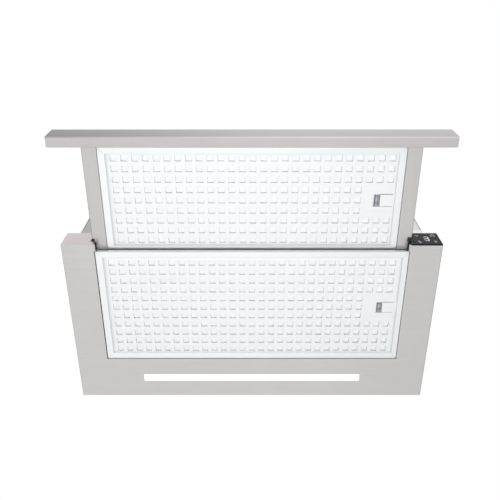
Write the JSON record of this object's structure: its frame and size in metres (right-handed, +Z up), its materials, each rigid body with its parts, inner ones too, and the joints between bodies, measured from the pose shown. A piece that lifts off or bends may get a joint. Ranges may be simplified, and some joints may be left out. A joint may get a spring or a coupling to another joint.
{
  "type": "telescopic range hood",
  "caption": "Built-under range hood with a pull-out visor, panel grease filters, a touch panel, a light strip, blowers in a casing and a round duct collar with flaps.",
  "frame": {"origin": "centre of the four fixing screws in the casing's top face", "axes": "+X to the right seen from the cook's side, where the touch panel is, +Y to the wall, +Z up"},
  "size_m": [0.6, 0.4732, 0.218],
  "materials": {
    "stainless": "brushed",
    "polished_steel": "polished",
    "galvanised": "spangled zinc",
    "white_coat": "satin",
    "filter_metal": "satin",
    "filter_mesh": "knitted",
    "latch_metal": "satin",
    "panel_glass": "gloss",
    "circuit_board": "lacquered",
    "diffuser": "frosted",
    "light_strip": "white coated",
    "black_plastic": "fine grain",
    "grey_plastic": "fine grain",
    "dark_grey_plastic": "fine grain",
    "black_rubber": "matt",
    "motor_steel": "satin",
    "bright_steel": "turned",
    "spring_steel": "drawn",
    "cable_jacket": "smooth"
  },
  "bodies": {
    "hood_body": {"tray": "stainless", "front_crossbar": "polished_steel", "visor_seal": "black_rubber", "corner_guides": "black_plastic", "control_glass": "panel_glass", "control_housing": "black_plastic", "control_board": "circuit_board", "led_diffuser": "diffuser", "led_board": "light_strip", "led_driver": "grey_plastic", "casing_shell": "galvanised", "casing_top": "galvanised", "casing_lintel": "white_coat", "scroll_left": "grey_plastic", "scroll_right": "grey_plastic", "outlet_plenum": "grey_plastic", "inlet_guards": "black_plastic", "motor_left": "motor_steel", "motor_right": "motor_steel", "motor_grommets": "black_rubber", "run_capacitor": "grey_plastic", "terminal_box": "dark_grey_plastic", "cable_gland": "black_plastic", "wiring_loom": "cable_jacket", "outlet_collar": "black_plastic", "flap_axle": "bright_steel", "top_screws": "bright_steel", "slide_brackets": "galvanised", "slide_outer_left": "galvanised", "slide_outer_right": "galvanised", "rear_catch": "spring_steel"},
    "rotor_left": {"impeller_left": "dark_grey_plastic", "motor_shaft_left": "bright_steel"},
    "rotor_right": {"impeller_right": "dark_grey_plastic", "motor_shaft_right": "bright_steel"},
    "flap_front": {"flap_front": "dark_grey_plastic"},
    "flap_rear": {"flap_rear": "dark_grey_plastic"},
    "slide_middle_left": {"slide_middle_left": "galvanised"},
    "slide_middle_right": {"slide_middle_right": "galvanised"},
    "visor": {"visor_handle": "stainless", "handle_end_caps": "stainless", "visor_rail_left": "stainless", "visor_rail_right": "stainless", "visor_crossbar": "stainless", "visor_top": "galvanised", "slide_inner_left": "galvanised", "slide_inner_right": "galvanised", "front_catch": "spring_steel"},
    "front_filter": {"front_filter_frame": "filter_metal", "front_filter_face": "filter_metal", "front_filter_mesh": "filter_mesh", "front_latch_housing": "filter_metal", "front_latch_springs": "spring_steel"},
    "front_latch": {"front_latch": "latch_metal"},
    "rear_filter": {"rear_filter_frame": "filter_metal", "rear_filter_face": "filter_metal", "rear_filter_mesh": "filter_mesh", "rear_latch_housing": "filter_metal", "rear_latch_springs": "spring_steel"},
    "rear_latch": {"rear_latch": "latch_metal"}
  },
  "joints": [
    {"name": "visor_slide", "type": "slide", "parent": "hood_body", "child": "visor", "axis": [0, -1, 0], "range_m": [-0.1562, 0]},
    {"name": "slide_middle_left", "type": "slide", "parent": "hood_body", "child": "slide_middle_left", "axis": [0, -1, 0], "range_m": [-0.0781, 0]},
    {"name": "slide_middle_right", "type": "slide", "parent": "hood_body", "child": "slide_middle_right", "axis": [0, -1, 0], "range_m": [-0.0781, 0]},
    {"name": "front_filter_swing", "type": "hinge", "parent": "visor", "child": "front_filter", "pos_m": [-0.2253, -0.2213, -0.1646], "axis": [0, 1, 0], "range_deg": [0, 70], "deforming": ["front_catch"]},
    {"name": "rear_filter_swing", "type": "hinge", "parent": "hood_body", "child": "rear_filter", "pos_m": [-0.244, -0.0338, -0.1751], "axis": [0, 1, 0], "range_deg": [0, 70], "deforming": ["rear_catch"]},
    {"name": "front_latch_slide", "type": "slide", "parent": "front_filter", "child": "front_latch", "axis": [-1, 0, 0], "range_m": [0, 0.006], "stiffness_N_per_m": 250, "deforming": ["front_latch_springs"]},
    {"name": "rear_latch_slide", "type": "slide", "parent": "rear_filter", "child": "rear_latch", "axis": [-1, 0, 0], "range_m": [0, 0.006], "stiffness_N_per_m": 250, "deforming": ["rear_latch_springs"]},
    {"name": "blower_spin_left", "type": "hinge", "parent": "hood_body", "child": "rotor_left", "pos_m": [-0.165, 0, -0.063], "axis": [0, 0, 1], "continuous": true},
    {"name": "blower_spin_right", "type": "hinge", "parent": "hood_body", "child": "rotor_right", "pos_m": [0.165, 0, -0.063], "axis": [0, 0, 1], "continuous": true},
    {"name": "flap_front_swing", "type": "hinge", "parent": "hood_body", "child": "flap_front", "pos_m": [0, 0, 0.006], "axis": [-1, 0, 0], "range_deg": [0, 75]},
    {"name": "flap_rear_swing", "type": "hinge", "parent": "hood_body", "child": "flap_rear", "pos_m": [0, 0, 0.006], "axis": [1, 0, 0], "range_deg": [0, 75]}
  ],
  "couplings": [
    {"joint": "slide_middle_left", "follows": "visor_slide", "ratio": 0.5},
    {"joint": "slide_middle_right", "follows": "visor_slide", "ratio": 0.5}
  ]
}
